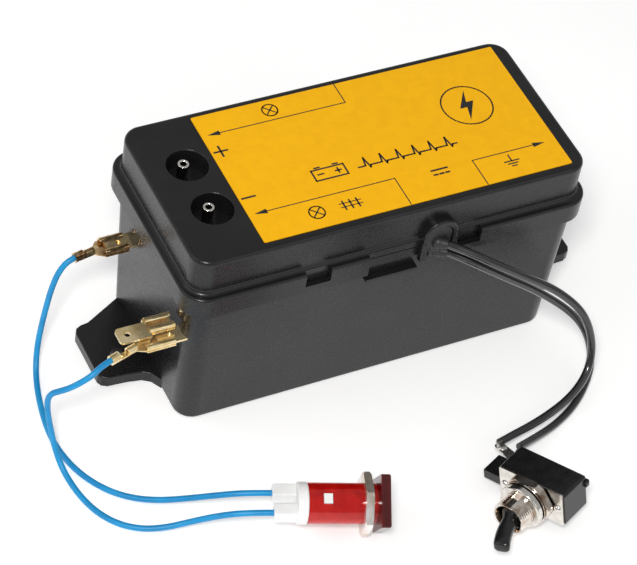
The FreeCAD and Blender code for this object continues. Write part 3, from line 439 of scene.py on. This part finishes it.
def earth_sign(work, centre, h):
    """Earth: a stem over three bars that shorten."""
    x, y = centre
    ink_line(work, (x, y + h), (x, y), STROKE["earth"])
    for k, half in enumerate((1.0, 0.65, 0.3)):
        level = y - k * 0.42 * h
        ink_line(work, (x - half * h, level), (x + half * h, level), STROKE["earth"])


def bolt_sign(work, centre, h):
    """Flash of lightning in a ring, the general sign of a pulse output."""
    x, y = centre
    ink_ring(work, centre, h * 1.25, STROKE["ring"], steps=40)
    shape = [(0.30, 0.95), (-0.42, -0.12), (-0.04, -0.12), (-0.26, -0.95), (0.44, 0.20), (0.06, 0.20)]
    ink_shape(work, [(x + u * h, y + v * h) for u, v in shape])


def battery_sign(work, centre, h):
    """Battery: a box with two posts, a plus and a minus."""
    x, y = centre
    for a, b in (((-2.1, -1.0), (2.1, -1.0)), ((2.1, -1.0), (2.1, 0.7)), ((2.1, 0.7), (-2.1, 0.7)),
                 ((-2.1, 0.7), (-2.1, -1.0)), ((-1.5, 1.0), (-0.9, 1.0)), ((0.9, 1.0), (1.5, 1.0)),
                 ((-1.5, -0.1), (-0.8, -0.1)), ((0.8, -0.1), (1.5, -0.1)),
                 ((1.15, -0.45), (1.15, 0.25))):
        ink_line(work, (x + a[0] * h, y + a[1] * h), (x + b[0] * h, y + b[1] * h),
                 STROKE["battery"])


def pulse_sign(work, start, h):
    """Train of short pulses on a base line."""
    x, y = start
    beat = ((0.0, 0.0), (0.9, 0.0), (1.15, 1.3), (1.45, -0.35), (1.65, 0.0), (2.2, 0.0))
    for _ in range(6):
        for a, b in zip(beat, beat[1:]):
            ink_line(work, (x + a[0] * h, y + a[1] * h), (x + b[0] * h, y + b[1] * h),
                     STROKE["pulse"])
        x += beat[-1][0] * h


def direct_sign(work, centre, h):
    """Direct current: a long stroke over three short ones."""
    x, y = centre
    ink_line(work, (x - h, y + 0.4 * h), (x + h, y + 0.4 * h), STROKE["direct"])
    for k in (-0.75, 0.0, 0.75):
        ink_line(work, (x + (k - 0.2) * h, y - 0.3 * h), (x + (k + 0.2) * h, y - 0.3 * h),
                 STROKE["direct"])


LINE_END_Y = 28.5
POLE_X, PLUS_Y, MINUS_Y, POLE_HALF = -42.9, 11.9, -9.4, 2.2
SIGNS = (                                                 # sign, place and size in mm
    (lamp_sign, (-20.0, 24.1), 2.6), (lamp_sign, (-25.0, -22.2), 2.6),
    (fence_sign, (-13.0, -22.2), 2.2), (earth_sign, (45.6, -21.6), 2.6),
    (bolt_sign, (43.5, 6.0), 7.0), (battery_sign, (-13.5, -7.2), 2.7),
    (pulse_sign, (-3.6, -8.6), 2.7), (direct_sign, (21.0, -18.6), 2.8))


def label_print(work):
    """Arrows to the two ends with lines to the label's long sides, plus, minus and the signs."""
    for tip_x, corner_x, y, side in ((-44.2, 5.3, 19.7, 1), (-44.2, 5.3, -16.6, -1),
                                     (60.2, 33.2, -17.4, -1)):
        ink_arrow(work, (tip_x, y), (corner_x, y), STROKE["arrow"])
        ink_line(work, (corner_x, y), (corner_x, side * LINE_END_Y), STROKE["arrow"])
    ink_line(work, (POLE_X, PLUS_Y - POLE_HALF), (POLE_X, PLUS_Y + POLE_HALF), STROKE["pole"])
    for y in (PLUS_Y, MINUS_Y):
        ink_line(work, (POLE_X - POLE_HALF, y), (POLE_X + POLE_HALF, y), STROKE["pole"])
    for sign, place, size in SIGNS:
        sign(work, place, size)


mesh_object("label_print", label_print, MATS["ink"], "lid")


# ---------------------------------------------------------------- switch
E1 = Vector((0.39676, -0.87768, 0.26880))                 # along the plate, to the resting side
E2 = Vector((-0.13874, 0.23213, 0.96274))                 # across the plate
E3 = Vector((-0.90738, -0.41927, -0.02967))               # out of the panel, along the bushing
SWITCH_AT = Vector((23.6, -102.5, 9.54))
PIVOT_Z, LEVER_REST = 9.0, math.radians(22.0)


def at_switch(x, y, z):
    """Place in metres of a point in the switch's own axes, in mm."""
    return (SWITCH_AT + E1 * x + E2 * y + E3 * z) * MM


def loft(work, rings):
    """Closed skin over rings of equal point counts."""
    rows = [[work.verts.new(p) for p in ring] for ring in rings]
    count = len(rows[0])
    for low, high in zip(rows, rows[1:]):
        for i in range(count):
            j = (i + 1) % count
            work.faces.new((low[i], low[j], high[j], high[i]))
    work.faces.new(rows[0][::-1])
    work.faces.new(rows[-1])


def superellipse(a, b, power, steps=28):
    pts = []
    for k in range(steps):
        t = math.tau * k / steps
        c, s = math.cos(t), math.sin(t)
        pts.append((math.copysign(abs(c) ** (2 / power), c) * a,
                    math.copysign(abs(s) ** (2 / power), s) * b))
    return pts


BOW, BOW_FROM, BAT_TOP = 0.8, 2.0, 16.6                   # slight bend of the bat, and its end


def lever_bat(work):
    """Stem, ball, neck and flattened bat, by sections: height, two half sizes and power."""
    sections = ((-11.5, 0.8, 0.8, 2.0), (-11.3, 1.05, 1.05, 2.0), (-3.6, 1.05, 1.05, 2.0),
                (-2.7, 1.5, 1.5, 2.0), (-2.5, 3.2, 3.2, 2.0), (-1.6, 3.80, 3.80, 2.0),
                (-0.6, 4.10, 4.10, 2.0), (0.5, 4.12, 4.12, 2.0), (1.5, 3.86, 3.86, 2.0),
                (2.5, 3.42, 3.36, 2.0), (3.5, 3.02, 2.90, 2.0), (4.5, 2.72, 2.52, 2.1),
                (6.0, 2.62, 2.30, 2.3), (8.5, 2.64, 2.14, 2.6), (11.0, 2.68, 2.08, 2.8),
                (13.5, 2.72, 2.08, 3.0), (15.0, 2.72, 2.08, 3.2), (15.9, 2.60, 1.96, 3.2),
                (16.4, 2.25, 1.62, 3.0), (16.6, 1.60, 1.10, 2.8))
    rings = []
    for h, a, b, power in sections:
        ring = []
        up_the_bat = min(max((h - BOW_FROM) / (BAT_TOP - BOW_FROM), 0.0), 1.0)
        for x, y in superellipse(a, b, power):
            x -= BOW * math.sin(math.pi * up_the_bat)
            turned_x = x * math.cos(LEVER_REST) + h * math.sin(LEVER_REST)
            turned_z = h * math.cos(LEVER_REST) - x * math.sin(LEVER_REST)
            ring.append(at_switch(turned_x, y, PIVOT_Z + turned_z))
        rings.append(ring)
    loft(work, rings)


lever = mesh_object("lever_bat", lever_bat, MATS["phenolic"], "lever", smooth=True)
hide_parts("switch_lever")


def solder(centre, across, along, depth, seed):
    """Uneven drop of solder, as a build function."""
    def build(work):
        bmesh.ops.create_icosphere(work, subdivisions=3, radius=1.0)
        for vert in work.verts:
            p = vert.co
            lump = 1.0 + 0.10 * math.sin(5.0 * p.x + seed) * math.cos(4.0 * p.y - seed)
            p *= lump
            vert.co = centre + (E1 * p.x * across + E3 * p.y * along + E2 * p.z * depth) * MM
    return build


# stripped strands of the upper black lead, hooked through its lug's eye
STRAND_D, STRAND_GAP = 0.68, 0.42
for k in range(3):
    side = (k - 1) * STRAND_GAP
    strand = tube("strand_upper_%d" % k, (
        (26.6 + side, -77.0, 6.5 + 0.2 * k), (25.2, -77.2 - side, 7.2), (24.5, -78.3 - side, 7.3),
        (25.2 - side, -79.3, 6.3), (26.3, -79.4 + side, 5.0), (27.2 + side, -78.6, 4.6)),
        STRAND_D, 4)
    strand.data.materials.append(MATS["tinned"])

# a drop of solder on each lug: place in the switch's axes, half sizes, seed
for name, place, size, seed in (
        ("solder_upper", (-20.4, 1.9, -11.7), (1.9, 1.5, 0.75), 1.0),
        ("solder_lower", (-14.6, 0.9, -14.2), (1.5, 1.5, 0.7), 2.3)):
    mesh_object(name, solder(at_switch(*place), *size, seed), MATS["tinned"], "case",
                smooth=True)


# ---------------------------------------------------------------- floor and light
FLOOR_HALF, FLOOR_Z, FLOOR_GLOW = 3.0, -0.0002, 0.30
SKY_STRENGTH = 0.42
LIGHTS = (                                                # name, place, size, power, tint
    ("key", (-0.42, -0.52, 0.86), 0.16, 5.7, (1.0, 0.99, 0.97)),
    ("left", (-0.95, 0.25, 0.75), 0.7, 1.6, (1.0, 0.96, 1.0)),
    ("front", (0.55, -1.0, 0.75), 0.7, 1.1, (0.98, 0.99, 1.0)))
LIGHTS_AIM = Vector((0, -0.02, 0.04))


def studio():
    """Pale floor, three square lights and an even sky."""
    mesh = bpy.data.meshes.new("floor")
    work = bmesh.new()
    bmesh.ops.create_grid(work, x_segments=2, y_segments=2, size=FLOOR_HALF)
    work.to_mesh(mesh)
    work.free()
    floor = bpy.data.objects.new("floor", mesh)
    floor.location = (0, 0, FLOOR_Z)
    SCENE.collection.objects.link(floor)
    mat = finish("floor_pale", (0.90, 0.90, 0.90), (0.92, 0.92, 0.92), (0.70, 0.80), tone_scale=8.0,
                 grain_scale=400.0, strength=0.02)
    glow = mat.node_tree.nodes["Principled BSDF"]
    glow.inputs["Emission Color"].default_value = (1.0, 1.0, 1.0, 1.0)
    glow.inputs["Emission Strength"].default_value = FLOOR_GLOW
    mesh.materials.append(mat)
    for name, place, size, power, tint in LIGHTS:
        data = bpy.data.lights.new(name, "AREA")
        data.shape = "SQUARE"
        data.size = size
        data.energy = power
        data.color = tint
        lamp = bpy.data.objects.new(name, data)
        lamp.location = place
        aim = LIGHTS_AIM - Vector(place)
        lamp.rotation_euler = aim.to_track_quat("-Z", "Y").to_euler()
        SCENE.collection.objects.link(lamp)
    world = bpy.data.worlds.new("studio")
    world.use_nodes = True
    back = world.node_tree.nodes["Background"]
    back.inputs["Color"].default_value = (1.0, 1.0, 1.0, 1.0)
    back.inputs["Strength"].default_value = SKY_STRENGTH
    SCENE.world = world
    SCENE.view_settings.view_transform = "Standard"


studio()

bpy.context.view_layer.update()
